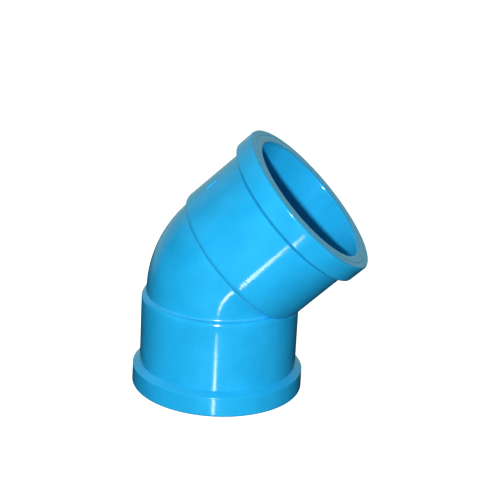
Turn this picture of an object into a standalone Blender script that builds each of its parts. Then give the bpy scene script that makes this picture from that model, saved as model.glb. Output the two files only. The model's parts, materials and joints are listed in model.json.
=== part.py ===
"""45 degree PVC conduit elbow with two solvent-cement sockets, built from its seven pieces.

A tight hollow bend has a spigot turned on each end. Each spigot is cemented into a socket sleeve, and a
collar ring is cemented round the mouth of each sleeve. The spigot's end face is what the conduit stops
against. The two sleeves are cut to a mitre at the throat, where they meet.

Frame: +Z runs up the lower socket's axis, and the bend turns the axis from +Z towards +X. The elbow
stands on its lower mouth, on the plane z = 0, with the origin under the middle of its outer box.
"""
from math import cos, degrees, pi, radians, sin, tan

import bmesh
import bpy
from mathutils import Matrix, Vector

MM = 0.001

# The bend: its angle and the radius that its centre line turns on.
BEND_ANGLE = radians(45.0)
BEND_RADIUS = 39.6 * MM
BEND_OUTER_R = 59.2 * MM
PASSAGE_R = 50.8 * MM

# The sockets: bore for conduit of 110 mm outside diameter, 0.1 mm tighter on radius at its root.
BORE_MOUTH_R = 55.2 * MM
BORE_ROOT_R = 55.0 * MM
BARREL_R = 62.8 * MM
SOCKET_LENGTH = 76.6 * MM
INSERTION_DEPTH = 61.0 * MM
LIP_ROUND = 2.2 * MM
SHOULDER_WIDTH = 2.6 * MM
SHOULDER_HEIGHT = 4.5 * MM

# The straight run of bend between a socket's shoulder and the start of the curve.
BEND_STRAIGHT = 2.1 * MM

# The collars, with the moulding draft that leaves the back a little smaller than the mouth. From the back
# corner a sloping ledge climbs to the barrel.
COLLAR_FRONT_R = 68.6 * MM
COLLAR_BACK_R = 68.0 * MM
COLLAR_CORNER = 16.5 * MM
COLLAR_LEDGE = radians(35.0)
COLLAR_FRONT_ROUND = 1.8 * MM
COLLAR_BACK_ROUND = 0.8 * MM

# Cement: the film left between two cemented faces, and the fillet squeezed out at the bend.
GAP = 0.3 * MM
BEAD_WIDTH = 1.4 * MM
BEAD_HEIGHT = 1.7 * MM
BEAD_WAIST = 0.3

SPIGOT_R = BORE_ROOT_R - GAP
SPIGOT_CHAMFER = 0.8 * MM

# How finely round shapes are cut into flats.
SEGMENTS = 72
ARC_STEPS = 6
ROUND_STEPS = 3
WELD = 1e-6
SHARP_ANGLE = radians(30.0)

# Measured from the lower mouth's centre: where the arc starts, the point where the axis crosses the
# mitre plane, and the upper mouth's centre.
ARC_START = SOCKET_LENGTH + BEND_STRAIGHT
BEND_CENTRE = Vector((BEND_RADIUS, 0.0, ARC_START))
MITRE_POINT = Vector((0.0, 0.0, ARC_START + BEND_RADIUS * tan(BEND_ANGLE / 2)))
MITRE_NORMAL = Vector((sin(BEND_ANGLE / 2), 0.0, cos(BEND_ANGLE / 2)))
UPPER_AXIS = Vector((sin(BEND_ANGLE), 0.0, cos(BEND_ANGLE)))
ACROSS = Vector((cos(BEND_ANGLE), 0.0, -sin(BEND_ANGLE)))
UPPER_MOUTH = BEND_CENTRE - BEND_RADIUS * ACROSS + ARC_START * UPPER_AXIS
CUTTER_SIZE = 0.4

# Half way between the lower collar's far left and the upper collar's far right.
UPPER_EDGE = UPPER_MOUTH - COLLAR_FRONT_ROUND * UPPER_AXIS + (COLLAR_FRONT_R - COLLAR_FRONT_ROUND) * ACROSS
MIDDLE_X = (UPPER_EDGE.x + COLLAR_FRONT_ROUND - COLLAR_FRONT_R) / 2

PVC_BLUE = (0.03, 0.42, 0.80, 1.0)
CEMENT_BLUE = (0.06, 0.47, 0.82, 1.0)


def clear_scene():
    """Empty the file, so that a second run gives the same model."""
    for thing in list(bpy.data.objects):
        bpy.data.objects.remove(thing, do_unlink=True)
    for group in list(bpy.data.collections):
        bpy.data.collections.remove(group)


def collection(name):
    """A new collection in the scene."""
    group = bpy.data.collections.new(name)
    bpy.context.scene.collection.children.link(group)
    return group


def plastic(name, colour, roughness):
    """A Principled material for moulded plastic."""
    material = bpy.data.materials.new(name)
    material.use_nodes = True
    shader = material.node_tree.nodes["Principled BSDF"]
    shader.inputs["Base Color"].default_value = colour
    shader.inputs["Roughness"].default_value = roughness
    shader.inputs["Metallic"].default_value = 0.0
    return material


def corner(radius, height, width, rise, start, end):
    """Points of a rounded corner: a quarter ellipse about (radius, height), from start to end degrees."""
    points = []
    for step in range(ROUND_STEPS + 1):
        angle = radians(start + (end - start) * step / ROUND_STEPS)
        points.append((radius + width * cos(angle), height + rise * sin(angle)))
    return points


def socket_outline():
    """The sleeve's section, from the shoulder down the outside, round the mouth and up the bore."""
    outside = corner(BARREL_R - SHOULDER_WIDTH, SOCKET_LENGTH - SHOULDER_HEIGHT,
                     SHOULDER_WIDTH, SHOULDER_HEIGHT, 90, 0)
    lip = corner(BORE_MOUTH_R + LIP_ROUND, LIP_ROUND, LIP_ROUND, LIP_ROUND, 270, 180)
    return outside + [(BARREL_R, 0.0)] + lip + [(BORE_ROOT_R, INSERTION_DEPTH), (BORE_ROOT_R, SOCKET_LENGTH)]


def collar_outline():
    """The ring's section, from its back corner down the outside to the mouth and up the inside."""
    inner = BARREL_R + GAP
    height = COLLAR_CORNER + (COLLAR_BACK_R - inner) * tan(COLLAR_LEDGE)
    centre = COLLAR_CORNER - COLLAR_BACK_ROUND * (1 - sin(COLLAR_LEDGE)) / cos(COLLAR_LEDGE)
    back = corner(COLLAR_BACK_R - COLLAR_BACK_ROUND, centre,
                  COLLAR_BACK_ROUND, COLLAR_BACK_ROUND, 90 - degrees(COLLAR_LEDGE), 0)
    front = corner(COLLAR_FRONT_R - COLLAR_FRONT_ROUND, COLLAR_FRONT_ROUND,
                   COLLAR_FRONT_ROUND, COLLAR_FRONT_ROUND, 0, -90)
    return back + front + [(inner, 0.0), (inner, height)]


def bead_outline():
    """The cement fillet's section: a hollow-faced triangle in the corner of bend and shoulder."""
    inner = BEND_OUTER_R + GAP
    base = SOCKET_LENGTH + GAP
    waist = (inner + BEAD_WIDTH * BEAD_WAIST, base + BEAD_HEIGHT * BEAD_WAIST)
    return [(inner, base + BEAD_HEIGHT), waist, (inner + BEAD_WIDTH, base), (inner, base)]


def bend_outline():
    """The section of the bend's straight end, open at the top: down the outside and up the passage."""
    step = SOCKET_LENGTH + GAP
    return [(BEND_OUTER_R, ARC_START), (BEND_OUTER_R, step), (SPIGOT_R, step),
            (SPIGOT_R, INSERTION_DEPTH + SPIGOT_CHAMFER), (SPIGOT_R - SPIGOT_CHAMFER, INSERTION_DEPTH),
            (PASSAGE_R, INSERTION_DEPTH), (PASSAGE_R, ARC_START)]


def outline_mesh(name, points, closed):
    """A mesh of edges along a section drawn in the XZ plane, at +X."""
    mesh = bpy.data.meshes.new(name)
    count = len(points)
    edges = [(i, (i + 1) % count) for i in range(count if closed else count - 1)]
    mesh.from_pydata([(r, 0.0, z) for r, z in points], edges, [])
    return mesh


def turn(thing):
    """Turn a section once round the object's Z axis."""
    screw = thing.modifiers.new("Turn", "SCREW")
    screw.axis = "Z"
    screw.angle = 2 * pi
    screw.steps = SEGMENTS
    screw.render_steps = SEGMENTS
    screw.use_merge_vertices = True
    screw.merge_threshold = WELD
    screw.use_smooth_shade = True


def turned(name, points, material, group, parent):
    """A ring or sleeve turned from its section, placed in a socket's frame."""
    thing = bpy.data.objects.new(name, outline_mesh(name, points, closed=True))
    thing.data.materials.append(material)
    group.objects.link(thing)
    thing.parent = parent
    turn(thing)
    return thing


def cut_mitre(thing, cutter):
    """Take away what lies past the mitre plane, where the other socket's pieces begin."""
    cut = thing.modifiers.new("Mitre", "BOOLEAN")
    cut.operation = "DIFFERENCE"
    cut.solver = "EXACT"
    cut.object = cutter


def mitre_cutter(name, side, group, origin):
    """A block that fills one side of the mitre plane, and half a gap of the other side."""
    bpy.ops.mesh.primitive_cube_add(size=CUTTER_SIZE)
    block = bpy.context.object
    block.name = name
    for owner in list(block.users_collection):
        owner.objects.unlink(block)
    group.objects.link(block)
    block.parent = origin
    block.location = MITRE_POINT + MITRE_NORMAL * side * (CUTTER_SIZE - GAP) / 2
    block.rotation_euler = (0.0, BEND_ANGLE / 2, 0.0)
    block.hide_render = True
    block.display_type = "WIRE"
    return block


def empty(name, location, rotation, group, parent=None):
    """An empty that carries other objects."""
    frame = bpy.data.objects.new(name, None)
    frame.location = location
    frame.rotation_euler = rotation
    frame.parent = parent
    group.objects.link(frame)
    return frame


def turned_mesh(name, points, group):
    """The mesh of an open section turned once round Z."""
    guide = bpy.data.objects.new(name + "_guide", outline_mesh(name + "_guide", points, closed=False))
    group.objects.link(guide)
    turn(guide)
    graph = bpy.context.evaluated_depsgraph_get()
    mesh = bpy.data.meshes.new_from_object(guide.evaluated_get(graph))
    mesh.name = name
    bpy.data.objects.remove(guide, do_unlink=True)
    return mesh


def add_bend(name, material, group, origin):
    """The bend: one straight end and half of the arc, mirrored in the mitre plane.

    The centre line's radius is smaller than the tube's, so only the part of the section outside the
    turning axis sweeps round it. The rest runs straight on and meets its mirror image in the throat.
    """
    mesh = turned_mesh(name, bend_outline(), group)
    half = bmesh.new()
    half.from_mesh(mesh)

    bmesh.ops.bisect_plane(half, geom=half.verts[:] + half.edges[:] + half.faces[:],
                           plane_co=BEND_CENTRE, plane_no=(1.0, 0.0, 0.0))
    rim = [edge for edge in half.edges if edge.is_boundary
           and all(vert.co.x < BEND_RADIUS + WELD for vert in edge.verts)]
    bmesh.ops.spin(half, geom=rim + list({vert for edge in rim for vert in edge.verts}),
                   cent=BEND_CENTRE, axis=(0.0, 1.0, 0.0), angle=BEND_ANGLE / 2, steps=ARC_STEPS)
    bmesh.ops.remove_doubles(half, verts=half.verts[:], dist=WELD)
    bmesh.ops.recalc_face_normals(half, faces=half.faces[:])

    place = Matrix.Translation(BEND_CENTRE) @ Matrix.Rotation(BEND_ANGLE / 2, 4, "Y")
    half.transform(place.inverted())
    half.to_mesh(mesh)
    half.free()

    bend = bpy.data.objects.new(name, mesh)
    bend.parent = origin
    bend.matrix_local = place
    bend.data.materials.append(material)
    group.objects.link(bend)
    mirror = bend.modifiers.new("Mitre mirror", "MIRROR")
    mirror.use_axis = (False, False, True)
    mirror.use_bisect_axis = (False, False, True)
    mirror.use_bisect_flip_axis = (False, False, True)
    mirror.use_mirror_merge = True
    mirror.merge_threshold = WELD * 10
    mirror.bisect_threshold = WELD
    bend.data.shade_smooth()
    bend.data.set_sharp_from_angle(angle=SHARP_ANGLE)


def main():
    """Build the elbow."""
    clear_scene()
    elbow = collection("pvc_conduit_elbow")
    cutters = collection("cutters")
    pvc = plastic("pvc_blue", PVC_BLUE, 0.22)
    cement = plastic("cement_blue", CEMENT_BLUE, 0.3)

    origin = empty("lower_mouth_centre", (-MIDDLE_X, 0.0, 0.0), (0.0, 0.0, 0.0), elbow)
    frames = {
        "lower": empty("lower_frame", (0.0, 0.0, 0.0), (0.0, 0.0, 0.0), elbow, origin),
        "upper": empty("upper_frame", UPPER_MOUTH, (0.0, pi - BEND_ANGLE, pi), elbow, origin),
    }
    beyond = {
        "lower": mitre_cutter("above_mitre", 1, cutters, origin),
        "upper": mitre_cutter("below_mitre", -1, cutters, origin),
    }

    add_bend("bend", pvc, elbow, origin)
    for end, frame in frames.items():
        sleeve = turned(end + "_socket", socket_outline(), pvc, elbow, frame)
        cut_mitre(sleeve, beyond[end])
        turned(end + "_collar", collar_outline(), pvc, elbow, frame)
        bead = turned(end + "_cement_bead", bead_outline(), cement, elbow, frame)
        cut_mitre(bead, beyond[end])


main()
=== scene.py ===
"""Looks of the 45 degree PVC conduit elbow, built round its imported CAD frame.

Every CAD node is replaced by a finely lofted piece of the same size. The pieces of each socket are made
in that socket's own frame: local Z runs from the mouth into the socket, and local X points at the throat
of the elbow. Sizes come from the frame, and the finer ones that a box can't tell are named below.
"""
import json
from math import cos, degrees, pi, radians, sin, sqrt, tan

import bmesh
import bpy
from mathutils import Matrix, Vector


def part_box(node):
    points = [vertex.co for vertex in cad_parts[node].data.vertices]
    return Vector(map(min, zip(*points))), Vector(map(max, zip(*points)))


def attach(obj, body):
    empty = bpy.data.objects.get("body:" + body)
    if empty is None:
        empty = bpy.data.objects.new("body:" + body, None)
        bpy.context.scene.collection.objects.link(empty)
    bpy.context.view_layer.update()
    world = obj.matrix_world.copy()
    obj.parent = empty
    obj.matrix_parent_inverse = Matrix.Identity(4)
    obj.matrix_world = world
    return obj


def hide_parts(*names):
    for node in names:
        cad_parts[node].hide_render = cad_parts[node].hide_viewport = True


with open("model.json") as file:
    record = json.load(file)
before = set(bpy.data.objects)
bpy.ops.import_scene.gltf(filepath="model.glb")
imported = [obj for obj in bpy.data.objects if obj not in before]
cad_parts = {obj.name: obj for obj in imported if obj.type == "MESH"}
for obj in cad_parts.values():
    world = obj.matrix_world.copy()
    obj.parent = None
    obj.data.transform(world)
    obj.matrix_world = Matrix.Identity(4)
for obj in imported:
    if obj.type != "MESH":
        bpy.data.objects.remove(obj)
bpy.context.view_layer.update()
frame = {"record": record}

MM = 0.001

# ---------------------------------------------------------------- sizes that the frame gives
SOCKET_LOW, SOCKET_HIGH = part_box("lower_socket")
COLLAR_LOW, COLLAR_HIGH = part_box("lower_collar")
BEND_LOW, BEND_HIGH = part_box("bend")
AXIS_X = (COLLAR_LOW.x + COLLAR_HIGH.x) / 2
BARREL_R = SOCKET_HIGH.y
SOCKET_LENGTH = SOCKET_HIGH.z
COLLAR_R = COLLAR_HIGH.y
COLLAR_HEIGHT = COLLAR_HIGH.z
BEND_R = BEND_HIGH.y
INSERTION_DEPTH = BEND_LOW.z

MOUNTS = {mount["name"]: mount for mount in frame["record"]["mounts"]}
UPPER_AXIS = Vector(MOUNTS["upper_rim"]["axis"]).normalized()
UPPER_MOUTH = Vector(MOUNTS["upper_rim"]["pos_m"])
UPPER_MOUTH.y = 0.0
LOWER_MOUTH = Vector((AXIS_X, 0.0, 0.0))
HALF_BEND = UPPER_AXIS.angle(Vector((0.0, 0.0, 1.0))) / 2
SLOPE = tan(HALF_BEND)

# Height above a mouth at which the socket's axis crosses the mitre plane between the two sockets.
MITRE_HEIGHT = (UPPER_MOUTH.x - AXIS_X) / sin(2 * HALF_BEND)

# ---------------------------------------------------------------- sizes of the finer shapes
BORE_MOUTH_R = 55.2 * MM
BORE_ROOT_R = 55.0 * MM
PASSAGE_R = 50.8 * MM
BEND_RADIUS = 39.6 * MM
ARC_START = MITRE_HEIGHT - BEND_RADIUS * SLOPE
LIP_ROUND = 2.2 * MM
SHOULDER_WIDTH = 2.6 * MM
SHOULDER_HEIGHT = 4.5 * MM
COLLAR_TAPER = 0.15 * MM
COLLAR_FRONT_ROUND = 1.8 * MM
COLLAR_BACK_ROUND = 0.9 * MM
COLLAR_LEDGE = radians(35.0)
INSET = 0.16 * MM
SEAM = 0.06 * MM
SEAM_ROUND = 0.35 * MM
MITRE_ROUND = 1.1 * MM
MITRE_BLEND = 0.7 * MM
SPIGOT_CHAMFER = 0.8 * MM
FILLET_WIDTH = 1.3 * MM
FILLET_HEIGHT = 1.7 * MM
FILLET_LEAST = 0.02
PARTING_RIDGE = 0.02 * MM
PARTING_WIDTH = 0.45 * MM

# Raised marks on the upper sleeve: the gate's scar and a blank bar. Angles are round the socket from its
# throat side, heights are from its mouth. Squareness runs from 2, an ellipse, up to a rectangle.
GATE_ANGLE = radians(84.0)
GATE_HEIGHT = 67.4 * MM
GATE_HALF_LENGTH = 3.6 * MM
GATE_HALF_WIDTH = 2.6 * MM
GATE_RISE = 0.25 * MM
GATE_SQUARENESS = 2.6
BAR_ANGLE = radians(165.0)
BAR_HEIGHT = 47.0 * MM
BAR_HALF_LENGTH = 7.4 * MM
BAR_HALF_WIDTH = 1.3 * MM
BAR_RISE = 0.9 * MM
BAR_SQUARENESS = 6.0
PATCH_DEPTH = 0.4 * MM
PATCH_FLANK = 1.4

# How worn an edge is, from 0 to 1. The lips and the collars' front edges are fully worn.
SEAM_WEAR = 0.4
SHOULDER_WEAR = 0.25
LEDGE_WEAR = 0.5

# ---------------------------------------------------------------- how finely the pieces are made
COLUMNS = 288
EDGE_STEPS = 8
SEAM_STEPS = 4
SHOULDER_STEPS = 12
SHELF_STEPS = 4
WALL_STEPS = 12
BORE_STEPS = 9
COLLAR_STEPS = 6
LEDGE_SHARES = (0.35, 0.7, 1.0)
ARC_STEPS = 40
PATCH_STEPS = 28
WELD = 1e-7
SHARP_ANGLE = radians(32.0)

# ---------------------------------------------------------------- materials
PVC_BLUE = (0.014, 0.42, 0.83)
PALE_BLUE = (0.20, 0.58, 0.90)
CEMENT_BLUE = (0.03, 0.45, 0.86)
PVC_IOR = 1.53
BEND_GLOSS = 0.10
SLEEVE_GLOSS = 0.10
COLLAR_GLOSS = 0.11
CEMENT_GLOSS = 0.16

# How coarse each detail is, as features per mm. Flow marks run along the socket and scuffs run round it.
MOTTLE_SCALE = 0.035
FLOW_SCALE = 0.11
FLOW_STRETCH = (1.0, 1.0, 0.12)
GRAIN_SCALE = 1.4
RUB_SCALE = 0.55
SCUFF_STRETCH = (0.22, 0.22, 5.0)
SCUFF_PATCH_SCALE = 0.05
PEEL_SCALE = 0.28

# The distance between turning rings on a rim, in mm.
RING_PITCH = 0.7

# How deep each detail is, in mm.
PEEL_HEIGHT = 0.010
GRAIN_HEIGHT = 0.0008
SCUFF_DEPTH = 0.0015
RING_HEIGHT = 0.0012

# Mottling, flow marks and grain together shade the pigment between its darkest and its lightest.
MOTTLE_SHARE = 0.6
FLOW_SHARE = 0.2
GRAIN_SHARE = 0.2
DARKEST = 0.93
LIGHTEST = 1.05
LIFT = 0.004

# How far wear and scuffs turn the colour pale, and how much each detail adds to the roughness.
WORN_TINT = 0.13
SCUFF_TINT = 0.12
HAZE = 0.03
WORN_HAZE = 0.15
SCUFF_HAZE = 0.12


def rounding(radius, height, width, rise, start, end, steps=EDGE_STEPS, wear=1.0):
    """An elliptical arc about (radius, height) from start to end degrees, equally worn all along."""
    points = []
    for step in range(steps + 1):
        angle = radians(start + (end - start) * step / steps)
        points.append((radius + width * cos(angle), height + rise * sin(angle), wear))
    return points


def smooth_min(a, b, blend):
    """The lesser of two heights, with a soft change from one to the other."""
    share = max(blend - abs(a - b), 0.0) / blend
    return min(a, b) - share * share * blend / 4


def drop(radius, outer, width, height):
    """How far an edge rounded to width and height has fallen at this radius."""
    over = min(max((radius - (outer - width)) / width, 0.0), 1.0)
    return height * (1 - sqrt(1 - over * over))


def mitre_height(x):
    """Height of the mitre plane above the mouth at local x."""
    return MITRE_HEIGHT - x * SLOPE


def parting(angle):
    """Height of the moulding's parting line, a hair-thin ridge in the elbow's plane of symmetry."""
    away = min(angle % pi, pi - angle % pi) * BARREL_R
    over = max(0.0, 1 - (away / PARTING_WIDTH) ** 2)
    return PARTING_RIDGE * over * over


def column_angles():
    """Angles of the lofted columns, closer together where the parting line runs."""
    angles = [2 * pi * step / COLUMNS for step in range(COLUMNS)]
    for side in (0.0, pi):
        for away in (-1.0, -0.66, -0.33, 0.33, 0.66, 1.0):
            angles.append((side + away * PARTING_WIDTH / BARREL_R) % (2 * pi))
    return sorted(angles)


# ---------------------------------------------------------------- meshes
def skin(name, columns, wrap=True):
    """A closed mesh through equal columns of (x, y, z, wear) points, each column a closed loop.

    Its points keep their place in the socket's frame as an attribute, for the materials to read.
    """
    mesh = bpy.data.meshes.new(name)
    shell = bmesh.new()
    wear = shell.verts.layers.float.new("edge_wear")
    grid = []
    for column in columns:
        line = []
        for x, y, z, worn in column:
            vert = shell.verts.new((x, y, z))
            vert[wear] = worn
            line.append(vert)
        grid.append(line)
    pairs = list(zip(grid, grid[1:] + grid[:1])) if wrap else list(zip(grid, grid[1:]))
    for here, there in pairs:
        for k in range(len(here)):
            shell.faces.new((here[k], here[k - 1], there[k - 1], there[k]))
    if not wrap:
        shell.faces.new(grid[0])
        shell.faces.new(grid[-1])
    bmesh.ops.remove_doubles(shell, verts=shell.verts[:], dist=WELD)
    bmesh.ops.dissolve_degenerate(shell, edges=shell.edges[:], dist=WELD)
    bmesh.ops.recalc_face_normals(shell, faces=shell.faces[:])
    shell.to_mesh(mesh)
    shell.free()
    spots = mesh.attributes.new("socket_place", "FLOAT_VECTOR", "POINT")
    for vert, spot in zip(mesh.vertices, spots.data):
        spot.vector = vert.co
    mesh.shade_smooth()
    mesh.set_sharp_from_angle(angle=SHARP_ANGLE)
    return mesh


def turned(name, outline, angles, wrap=True):
    """A mesh lofted round local Z through outline(angle), a closed list of (radius, height, wear)."""
    columns = []
    for angle in angles:
        columns.append([(r * cos(angle), r * sin(angle), z, wear) for r, z, wear in outline(angle)])
    return skin(name, columns, wrap)


def sleeve_top(radius, angle):
    """Height of the sleeve's inner end: the rounded shoulder, or the mitre where that is lower."""
    shoulder = SOCKET_LENGTH - drop(radius, BARREL_R, SHOULDER_WIDTH, SHOULDER_HEIGHT)
    mitre = mitre_height(radius * cos(angle)) - SEAM - drop(radius, BARREL_R, MITRE_ROUND, MITRE_ROUND)
    return smooth_min(shoulder, mitre, MITRE_BLEND)


def sleeve_outline(angle):
    """The sleeve's section: round the lip, along the rim, up the outside, over the top, down the bore.

    The bore's wall ends at the lip, where the line closes.
    """
    lip = rounding(BORE_MOUTH_R + LIP_ROUND, LIP_ROUND, LIP_ROUND, LIP_ROUND, 180, 270)
    corner = rounding(BARREL_R - SEAM_ROUND, SEAM_ROUND, SEAM_ROUND, SEAM_ROUND, -90, 0,
                      SEAM_STEPS, SEAM_WEAR)
    top = sleeve_top(BARREL_R, angle)
    wall = []
    for step in range(1, WALL_STEPS + 1):
        height = SEAM_ROUND + (top - SEAM_ROUND) * step / WALL_STEPS
        wall.append((BARREL_R + parting(angle), height, 0.0))
    shoulder = []
    for step in range(1, SHOULDER_STEPS + 1):
        radius = BARREL_R - SHOULDER_WIDTH * (1 - cos(pi / 2 * step / SHOULDER_STEPS))
        shoulder.append((radius, sleeve_top(radius, angle), SHOULDER_WEAR))
    edge = BARREL_R - SHOULDER_WIDTH
    for step in range(1, SHELF_STEPS + 1):
        radius = edge + (BORE_ROOT_R - edge) * step / SHELF_STEPS
        shoulder.append((radius, sleeve_top(radius, angle), 0.0))
    bore = []
    for step in range(1, BORE_STEPS):
        share = step / BORE_STEPS
        height = shoulder[-1][1] + (LIP_ROUND - shoulder[-1][1]) * share
        bore.append((BORE_ROOT_R + (BORE_MOUTH_R - BORE_ROOT_R) * share, height, 0.0))
    return lip + corner + wall + shoulder + bore


def collar_outline(angle):
    """The ring's section: along the front, round its edge, up the outside, and up the sloping ledge."""
    inner = BARREL_R + SEAM
    outer = COLLAR_R - INSET + parting(angle)
    back = outer - COLLAR_TAPER
    corner = COLLAR_HEIGHT - (back - inner) * tan(COLLAR_LEDGE)
    centre = corner - COLLAR_BACK_ROUND * (1 - sin(COLLAR_LEDGE)) / cos(COLLAR_LEDGE)
    front_inner = rounding(inner + SEAM_ROUND, SEAM_ROUND, SEAM_ROUND, SEAM_ROUND, 180, 270,
                           SEAM_STEPS, SEAM_WEAR)
    front = rounding(outer - COLLAR_FRONT_ROUND, COLLAR_FRONT_ROUND,
                     COLLAR_FRONT_ROUND, COLLAR_FRONT_ROUND, -90, 0)
    rear = rounding(back - COLLAR_BACK_ROUND, centre,
                    COLLAR_BACK_ROUND, COLLAR_BACK_ROUND, 0, 90 - degrees(COLLAR_LEDGE), wear=LEDGE_WEAR)
    wall = []
    for step in range(1, COLLAR_STEPS):
        height = COLLAR_FRONT_ROUND + (centre - COLLAR_FRONT_ROUND) * step / COLLAR_STEPS
        wall.append((outer - COLLAR_TAPER * step / COLLAR_STEPS, height, 0.0))
    ledge = []
    start_radius, start_height, _ = rear[-1]
    for share in LEDGE_SHARES:
        ledge.append((start_radius + (inner - start_radius) * share,
                      start_height + (COLLAR_HEIGHT - start_height) * share, 0.0))
    return front_inner + front + wall + rear + ledge + [(inner, COLLAR_HEIGHT / 2, 0.0)]


def fillet_share(angle):
    """How much of the cement fillet there is at this angle: none where the mitre has cut it off."""
    room = mitre_height((BEND_R + FILLET_WIDTH / 2) * cos(angle)) - SOCKET_LENGTH
    share = min(max(room / (2 * FILLET_HEIGHT), 0.0), 1.0)
    return share * share * (3 - 2 * share)


def fillet_outline(angle):
    """The fillet's section: a hollow-faced triangle in the corner of bend and shoulder."""
    share = fillet_share(angle)
    inner = BEND_R + SEAM / 2
    base = SOCKET_LENGTH + SEAM / 2
    width = FILLET_WIDTH * share
    height = FILLET_HEIGHT * share
    face = []
    for step in range(EDGE_STEPS + 1):
        turn = pi / 2 * step / EDGE_STEPS
        face.append((inner + width * (1 - sin(turn)), base + height * (1 - cos(turn)), 0.0))
    return face + [(inner, base, 0.0)]


def bend_line(radius, angle, start):
    """One line along the bend's wall, from the height start up to the mitre plane."""
    x = radius * cos(angle)
    y = radius * sin(angle)
    if x >= BEND_RADIUS:
        top = mitre_height(x)
        low = min(start, top)
        return [(x, y, low + (top - low) * step / (ARC_STEPS + 1), 0.0) for step in range(ARC_STEPS + 2)]
    line = [(x, y, start, 0.0)]
    for step in range(ARC_STEPS + 1):
        turn = HALF_BEND * step / ARC_STEPS
        line.append((BEND_RADIUS - (BEND_RADIUS - x) * cos(turn), y,
                     ARC_START + (BEND_RADIUS - x) * sin(turn), 0.0))
    return line


def past_mitre(point):
    """The mirror image of a point in the mitre plane."""
    x, y, z, wear = point
    away = x * sin(HALF_BEND) + (z - MITRE_HEIGHT) * cos(HALF_BEND)
    return (x - 2 * away * sin(HALF_BEND), y, z - 2 * away * cos(HALF_BEND), wear)


def bend_column(angle):
    """One closed line round the bend's wall: outside from spigot to spigot, and back by the passage."""
    spigot = BORE_ROOT_R - SEAM
    step_height = SOCKET_LENGTH + SEAM / 2
    shelf = BEND_R
    if cos(angle) > 0:
        shelf = min(shelf, (MITRE_HEIGHT - step_height) / (SLOPE * cos(angle)))
    shelf = max(shelf, spigot)
    outer = []
    for radius, height in ((PASSAGE_R, INSERTION_DEPTH), (spigot - SPIGOT_CHAMFER, INSERTION_DEPTH),
                           (spigot, INSERTION_DEPTH + SPIGOT_CHAMFER), (spigot, step_height)):
        x = radius * cos(angle)
        outer.append((x, radius * sin(angle), min(height, mitre_height(x)), 0.0))
    radius = shelf + (parting(angle) if shelf == BEND_R else 0.0)
    outer += bend_line(radius, angle, step_height)
    inner = bend_line(PASSAGE_R, angle, INSERTION_DEPTH)[1:]
    outside = outer + [past_mitre(point) for point in reversed(outer[:-1])]
    passage = inner + [past_mitre(point) for point in reversed(inner[:-1])]
    return outside + passage[::-1]


def raised_patch(name, angle, height, half_length, half_width, rise, squareness):
    """A low raised mark on the sleeve's outside, with soft edges, sunk a little into the wall."""
    columns = []
    for column in range(PATCH_STEPS + 1):
        across = 2 * column / PATCH_STEPS - 1
        turn = angle + across * half_width / BARREL_R
        top = []
        bottom = []
        for row in range(PATCH_STEPS + 1):
            along = 2 * row / PATCH_STEPS - 1
            away = (abs(across) ** squareness + abs(along) ** squareness) ** (1 / squareness)
            share = min(max((1 - away) * half_width / rise * PATCH_FLANK, 0.0), 1.0)
            swell = share * share * (3 - 2 * share)
            radius = BARREL_R - PATCH_DEPTH / 4 + (rise + PATCH_DEPTH / 4) * swell
            z = height + along * half_length
            top.append((radius * cos(turn), radius * sin(turn), z, share))
            low = BARREL_R - PATCH_DEPTH
            bottom.append((low * cos(turn), low * sin(turn), z, 0.0))
        columns.append(top + bottom[::-1])
    return skin(name, columns, wrap=False)


# ---------------------------------------------------------------- pieces
def socket_frame(mouth, axis):
    """The matrix of a socket's own frame, from its mouth's centre and the axis that points out of it."""
    inward = -axis
    other = UPPER_AXIS if axis.z < 0 else Vector((0.0, 0.0, -1.0))
    throat = (other - axis * other.dot(axis)).normalized()
    side = inward.cross(throat)
    matrix = Matrix((throat, side, inward)).transposed().to_4x4()
    matrix.translation = mouth
    return matrix


def place(mesh, matrix, material, slot, node=None):
    """Put a mesh into the scene as a piece, which may stand for a CAD node."""
    mesh.transform(matrix)
    mesh.materials.append(material)
    piece = bpy.data.objects.new(mesh.name, mesh)
    bpy.context.scene.collection.objects.link(piece)
    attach(piece, "root")
    if node:
        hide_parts(node)
    return piece


class Nodes:
    """Short ways to add and join a material's nodes."""

    def __init__(self, name):
        self.material = bpy.data.materials.new(name)
        self.material.use_nodes = True
        self.tree = self.material.node_tree
        self.shader = self.tree.nodes["Principled BSDF"]

    def add(self, kind, inputs=(), **settings):
        """A new node with its settings, and its inputs joined or filled by name or number."""
        node = self.tree.nodes.new("ShaderNode" + kind)
        for key, value in settings.items():
            setattr(node, key, value)
        for key, value in dict(inputs).items():
            self.put(node.inputs[key], value)
        return node

    def put(self, socket, value):
        """Join an output to a socket, or fill the socket with a plain value."""
        if isinstance(value, bpy.types.NodeSocket):
            self.tree.links.new(value, socket)
        else:
            socket.default_value = value

    def math(self, operation, *values, clamp=False):
        """The result of one sum."""
        return self.add("Math", enumerate(values), operation=operation, use_clamp=clamp).outputs[0]

    def noise(self, place, scale, detail=2.0, rough=0.5):
        """Noise between 0 and 1, with features about 1 / scale apart in the units of place."""
        values = {"Vector": place, "Scale": scale, "Detail": detail, "Roughness": rough}
        return self.add("TexNoise", values).outputs["Fac"]

    def span(self, value, low, high, to_low, to_high):
        """A value moved smoothly from one span to another."""
        values = {"Value": value, "From Min": low, "From Max": high, "To Min": to_low, "To Max": to_high}
        return self.add("MapRange", values, interpolation_type="SMOOTHSTEP").outputs["Result"]

    def stretched(self, place, factors):
        """Places stretched along each axis."""
        return self.add("VectorMath", {0: place, 1: factors}, operation="MULTIPLY").outputs[0]

    def blend(self, share, first, second):
        """Two colours mixed."""
        mix = self.add("Mix", data_type="RGBA")
        self.put(mix.inputs["Factor"], share)
        self.put(mix.inputs[6], first)
        self.put(mix.inputs[7], second)
        return mix.outputs[2]


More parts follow.
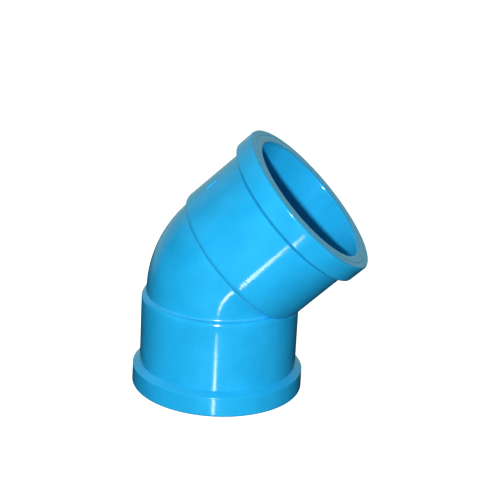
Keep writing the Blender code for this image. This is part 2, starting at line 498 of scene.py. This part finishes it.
def pvc(name, colour, pale, gloss, rings):
    """Glossy moulded PVC: faint mottling and flow marks, fine orange peel, hairline scuffs, worn edges.

    colour is the pigment and pale is its worn tint. gloss is the roughness where nothing has touched it.
    rings is how strongly fine turning rings show on the rim face.
    """
    nodes = Nodes(name)
    place = nodes.add("Attribute", attribute_name="socket_place").outputs["Vector"]
    place = nodes.stretched(place, (1 / MM, 1 / MM, 1 / MM))
    edge = nodes.add("Attribute", attribute_name="edge_wear").outputs["Fac"]

    mottle = nodes.noise(place, MOTTLE_SCALE, detail=3.0)
    flow = nodes.noise(nodes.stretched(place, FLOW_STRETCH), FLOW_SCALE, detail=4.0, rough=0.6)
    grain = nodes.noise(place, GRAIN_SCALE, detail=3.0, rough=0.7)
    dark = tuple(channel * DARKEST for channel in colour)
    light = tuple(min(channel * LIGHTEST + LIFT, 1.0) for channel in colour)
    shade = nodes.math("ADD", nodes.math("MULTIPLY", mottle, MOTTLE_SHARE),
                       nodes.math("MULTIPLY", flow, FLOW_SHARE))
    shade = nodes.math("ADD", shade, nodes.math("MULTIPLY", grain, GRAIN_SHARE))
    tint = nodes.blend(nodes.span(shade, 0.36, 0.64, 0.0, 1.0), (*dark, 1.0), (*light, 1.0))

    rub = nodes.noise(place, RUB_SCALE, detail=5.0, rough=0.65)
    worn = nodes.math("MULTIPLY", edge, nodes.span(rub, 0.45, 0.8, 0.0, 1.0), clamp=True)
    lines = nodes.noise(nodes.stretched(place, SCUFF_STRETCH), 1.0, detail=2.0, rough=0.6)
    patchy = nodes.span(nodes.noise(place, SCUFF_PATCH_SCALE, detail=2.0), 0.48, 0.7, 0.0, 1.0)
    scuff = nodes.math("MULTIPLY", nodes.span(lines, 0.64, 0.72, 0.0, 1.0), patchy)
    touched = nodes.math("MAXIMUM", nodes.math("MULTIPLY", worn, WORN_TINT),
                         nodes.math("MULTIPLY", scuff, SCUFF_TINT))
    nodes.put(nodes.shader.inputs["Base Color"], nodes.blend(touched, tint, (*pale, 1.0)))

    haze = nodes.span(mottle, 0.35, 0.65, 0.0, HAZE)
    roughness = nodes.math("ADD", haze, gloss)
    roughness = nodes.math("ADD", roughness, nodes.math("MULTIPLY", worn, WORN_HAZE))
    roughness = nodes.math("ADD", roughness, nodes.math("MULTIPLY", scuff, SCUFF_HAZE))
    nodes.put(nodes.shader.inputs["Roughness"], roughness)
    nodes.shader.inputs["IOR"].default_value = PVC_IOR

    peel = nodes.math("MULTIPLY", nodes.noise(place, PEEL_SCALE, detail=2.0), PEEL_HEIGHT)
    peel = nodes.math("ADD", peel, nodes.math("MULTIPLY", grain, GRAIN_HEIGHT))
    peel = nodes.math("SUBTRACT", peel, nodes.math("MULTIPLY", scuff, SCUFF_DEPTH))
    if rings:
        split = nodes.add("SeparateXYZ", {0: place}).outputs
        radius = nodes.math("SQRT", nodes.math("ADD", nodes.math("MULTIPLY", split[0], split[0]),
                                               nodes.math("MULTIPLY", split[1], split[1])))
        wave = nodes.math("SINE", nodes.math("MULTIPLY", radius, 2 * pi / RING_PITCH))
        on_rim = nodes.span(split[2], 0.02, 0.15, rings * RING_HEIGHT, 0.0)
        peel = nodes.math("ADD", peel, nodes.math("MULTIPLY", wave, on_rim))
    bump = nodes.add("Bump", {"Strength": 1.0, "Distance": MM, "Height": peel})
    nodes.put(nodes.shader.inputs["Normal"], bump.outputs["Normal"])
    return nodes.material


def build_elbow():
    """All the pieces of the elbow."""
    angles = column_angles()
    moulded = pvc("bend_pvc", PVC_BLUE, PALE_BLUE, gloss=BEND_GLOSS, rings=0.0)
    sleeve_finish = pvc("socket_pvc", PVC_BLUE, PALE_BLUE, gloss=SLEEVE_GLOSS, rings=1.0)
    collar_finish = pvc("collar_pvc", PVC_BLUE, PALE_BLUE, gloss=COLLAR_GLOSS, rings=1.0)
    cement = pvc("cement", CEMENT_BLUE, PALE_BLUE, gloss=CEMENT_GLOSS, rings=0.0)
    ends = {
        "lower": socket_frame(LOWER_MOUTH, Vector((0.0, 0.0, -1.0))),
        "upper": socket_frame(UPPER_MOUTH, UPPER_AXIS),
    }
    bend = skin("bend_moulding", [bend_column(angle) for angle in angles])
    place(bend, ends["lower"], moulded, "bend_pvc", "bend")
    cemented = [angle for angle in angles if fillet_share(angle) > FILLET_LEAST]
    for end, matrix in ends.items():
        sleeve = turned(end + "_socket_sleeve", sleeve_outline, angles)
        place(sleeve, matrix, sleeve_finish, "socket_pvc", end + "_socket")
        collar = turned(end + "_collar_ring", collar_outline, angles)
        place(collar, matrix, collar_finish, "collar_pvc", end + "_collar")
        fillet = turned(end + "_cement_fillet", fillet_outline, cemented, wrap=False)
        place(fillet, matrix, cement, "cement", end + "_cement_bead")
    gate = raised_patch("upper_socket_gate_mark", GATE_ANGLE, GATE_HEIGHT,
                        GATE_HALF_LENGTH, GATE_HALF_WIDTH, GATE_RISE, GATE_SQUARENESS)
    place(gate, ends["upper"], sleeve_finish, "socket_pvc")
    bar = raised_patch("upper_socket_raised_bar", BAR_ANGLE, BAR_HEIGHT,
                       BAR_HALF_LENGTH, BAR_HALF_WIDTH, BAR_RISE, BAR_SQUARENESS)
    place(bar, ends["upper"], sleeve_finish, "socket_pvc")


# ---------------------------------------------------------------- studio
VIEW_AZIMUTH = radians(5.584)
VIEW_ELEVATION = radians(20.138)
VIEW_ROLL = radians(3.036)
VIEW_DISTANCE = 1339.9 * MM
VIEW_TARGET = LOWER_MOUTH + Vector((21.77, 0.0, 115.44)) * MM
LENS = 122.33
SENSOR = 36.0
FAR_CLIP = 100.0

# The floor lies a hair below the elbow, and its own glow keeps it evenly white.
FLOOR_RADIUS = 12.0
FLOOR_EDGES = 96
FLOOR_GAP = 0.2 * MM
FLOOR_GREY = (0.75, 0.75, 0.75)
FLOOR_ROUGHNESS = 0.9
FLOOR_GLOW = 1.0

# The key lamp stands below and to the left of the camera. A second lamp under the floor stands for its
# image in a polished table: drawn out upright, and TABLE_DROP lower than the true mirror image.
KEY_RIGHT = -60 * MM
KEY_UP = -60 * MM
KEY_SIZE = 50 * MM
KEY_POWER = 18.2
TABLE_WIDTH = 65 * MM
TABLE_HEIGHT = 230 * MM
TABLE_DROP = 60 * MM
TABLE_POWER = 0.75

# The surroundings: the direction of each light patch, the cosines at which it starts and is full, and
# its strength. The table's edge is the sine of the elevations between which the wall comes into sight.
ROOM_LIGHT = 0.02
ROOM_TINT = (0.60, 1.0, 0.93)
WALL_DIRECTION = (-0.20, 0.94, 0.26)
WALL_EDGE = (0.45, 0.85)
WALL_LIGHT = 0.62
TABLE_EDGE = (-0.33, -0.12)
WINDOW_DIRECTION = (-0.64, 0.0, 0.77)
WINDOW_EDGE = (0.75, 1.0)
WINDOW_LIGHT = 0.35
FRONT_DIRECTION = (0.0, -0.98, 0.20)
FRONT_EDGE = (0.45, 1.0)
FRONT_LIGHT = 0.32


def camera_axes():
    """The camera's right, up and back directions."""
    back = Vector((sin(VIEW_AZIMUTH) * cos(VIEW_ELEVATION), -cos(VIEW_AZIMUTH) * cos(VIEW_ELEVATION),
                   sin(VIEW_ELEVATION)))
    level = (-back).cross(Vector((0.0, 0.0, 1.0))).normalized()
    upright = level.cross(-back)
    right = level * cos(VIEW_ROLL) + upright * sin(VIEW_ROLL)
    up = upright * cos(VIEW_ROLL) - level * sin(VIEW_ROLL)
    return right, up, back


def add_camera():
    """The camera, in front of the elbow and a little above it."""
    right, up, back = camera_axes()
    data = bpy.data.cameras.new("camera")
    data.lens = LENS
    data.sensor_width = SENSOR
    data.clip_end = FAR_CLIP
    camera = bpy.data.objects.new("camera", data)
    matrix = Matrix((right, up, back)).transposed().to_4x4()
    matrix.translation = VIEW_TARGET + back * VIEW_DISTANCE
    camera.matrix_world = matrix
    bpy.context.scene.collection.objects.link(camera)
    bpy.context.scene.camera = camera


def lamp(name, place_at, aim_at, width, height, watts):
    """An elliptical area lamp that faces a point."""
    data = bpy.data.lights.new(name, "AREA")
    data.shape = "ELLIPSE"
    data.size = width
    data.size_y = height
    data.energy = watts
    light = bpy.data.objects.new(name, data)
    light.location = place_at
    light.rotation_mode = "QUATERNION"
    light.rotation_quaternion = (aim_at - place_at).to_track_quat("-Z", "Y")
    bpy.context.scene.collection.objects.link(light)
    return light


def add_surroundings():
    """What the gloss reflects: a dark table, a pale wall behind it, a window, and the room in front."""
    world = bpy.data.worlds.new("studio")
    world.use_nodes = True
    tree = world.node_tree
    glow = tree.nodes["Background"]
    direction = tree.nodes.new("ShaderNodeTexCoord").outputs["Generated"]

    def ramp(towards, low, high, strength):
        """Light that rises smoothly from none to full as a direction turns towards another."""
        dot = tree.nodes.new("ShaderNodeVectorMath")
        dot.operation = "DOT_PRODUCT"
        tree.links.new(direction, dot.inputs[0])
        dot.inputs[1].default_value = towards
        span = tree.nodes.new("ShaderNodeMapRange")
        span.interpolation_type = "SMOOTHSTEP"
        tree.links.new(dot.outputs["Value"], span.inputs["Value"])
        for key, value in zip(("From Min", "From Max", "To Min", "To Max"), (low, high, 0.0, strength)):
            span.inputs[key].default_value = value
        return span.outputs["Result"]

    def combined(operation, *values):
        """The result of one sum."""
        node = tree.nodes.new("ShaderNodeMath")
        node.operation = operation
        for socket, value in zip(node.inputs, values):
            if isinstance(value, bpy.types.NodeSocket):
                tree.links.new(value, socket)
            else:
                socket.default_value = value
        return node.outputs[0]

    above_table = ramp((0.0, 0.0, 1.0), *TABLE_EDGE, 1.0)
    light = combined("MULTIPLY", ramp(WALL_DIRECTION, *WALL_EDGE, WALL_LIGHT), above_table)
    light = combined("ADD", light, ramp(WINDOW_DIRECTION, *WINDOW_EDGE, WINDOW_LIGHT))
    light = combined("ADD", light, ramp(FRONT_DIRECTION, *FRONT_EDGE, FRONT_LIGHT))
    tree.links.new(combined("ADD", light, ROOM_LIGHT), glow.inputs["Strength"])
    glow.inputs["Color"].default_value = (*ROOM_TINT, 1.0)
    bpy.context.scene.world = world


def add_floor():
    """A plain pale floor that only the camera sees: no gloss reflects it, and lamps shine through it."""
    bpy.ops.mesh.primitive_circle_add(vertices=FLOOR_EDGES, radius=FLOOR_RADIUS, fill_type="NGON")
    floor = bpy.context.object
    floor.name = "studio_floor"
    floor.location.z = -FLOOR_GAP
    material = bpy.data.materials.new("floor")
    material.use_nodes = True
    shader = material.node_tree.nodes["Principled BSDF"]
    shader.inputs["Base Color"].default_value = (*FLOOR_GREY, 1.0)
    shader.inputs["Roughness"].default_value = FLOOR_ROUGHNESS
    shader.inputs["Specular IOR Level"].default_value = 0.0
    shader.inputs["Emission Color"].default_value = (1.0, 1.0, 1.0, 1.0)
    shader.inputs["Emission Strength"].default_value = FLOOR_GLOW
    floor.data.materials.append(material)
    floor.visible_glossy = False
    floor.visible_diffuse = False
    floor.visible_shadow = False


def add_studio():
    """Lamps, surroundings and floor."""
    bpy.context.scene.view_settings.view_transform = "Standard"
    right, up, back = camera_axes()
    eye = VIEW_TARGET + back * VIEW_DISTANCE
    key = eye + right * KEY_RIGHT + up * KEY_UP
    mirrored = Vector((key.x, key.y, -key.z - TABLE_DROP))
    lamp("key", key, VIEW_TARGET, KEY_SIZE, KEY_SIZE, KEY_POWER)
    lamp("key_in_table", mirrored, VIEW_TARGET, TABLE_WIDTH, TABLE_HEIGHT, TABLE_POWER)
    add_surroundings()
    add_floor()


build_elbow()
add_camera()
add_studio()
